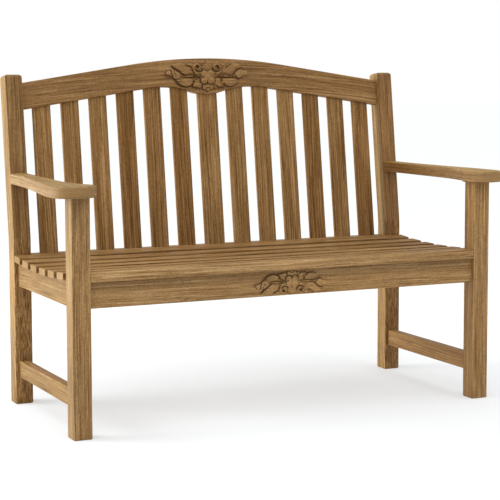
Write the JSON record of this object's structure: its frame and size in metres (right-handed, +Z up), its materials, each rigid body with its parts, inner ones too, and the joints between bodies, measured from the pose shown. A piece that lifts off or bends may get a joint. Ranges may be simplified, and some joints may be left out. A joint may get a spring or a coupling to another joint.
{
  "type": "garden bench",
  "caption": "Two-seat wooden garden bench with an arched crest rail, slatted back, dished slatted seat, round-ended arms and a carved rose spray on crest rail and front apron.",
  "frame": {"origin": "on the floor, under the middle of the bench's box", "axes": "+X along the bench to the sitter's left, seen on the right from the front; +Y from the front to the back; +Z up"},
  "size_m": [1.365, 0.6524, 0.99],
  "materials": {
    "frame_wood": "oiled hardwood, satin",
    "carved_rails": "oiled hardwood, satin",
    "back_wood": "oiled hardwood, satin",
    "seat_wood": "oiled hardwood, satin",
    "arm_wood": "oiled hardwood, satin",
    "peg_wood": "end grain, satin"
  },
  "bodies": {
    "root": {"crest_rail": "carved_rails", "rear_seat_rail": "frame_wood", "front_apron": "carved_rails", "seat_bearer": "frame_wood", "front_seat_slat": "seat_wood", "seat_pegs": "peg_wood", "joint_pegs": "peg_wood", "front_leg_left": "frame_wood", "front_leg_right": "frame_wood", "rear_post_left": "frame_wood", "rear_post_right": "frame_wood", "arm_left": "arm_wood", "arm_right": "arm_wood", "side_apron_left": "frame_wood", "side_apron_right": "frame_wood", "side_stretcher_left": "frame_wood", "side_stretcher_right": "frame_wood", "seat_slat_1": "seat_wood", "seat_slat_2": "seat_wood", "seat_slat_3": "seat_wood", "seat_slat_4": "seat_wood", "seat_slat_5": "seat_wood", "seat_slat_6": "seat_wood", "back_slat_1": "back_wood", "back_slat_2": "back_wood", "back_slat_3": "back_wood", "back_slat_4": "back_wood", "back_slat_5": "back_wood", "back_slat_6": "back_wood", "back_slat_7": "back_wood", "back_slat_8": "back_wood", "back_slat_9": "back_wood", "back_slat_10": "back_wood", "back_slat_11": "back_wood", "back_slat_12": "back_wood", "back_slat_13": "back_wood"}
  },
  "joints": []
}
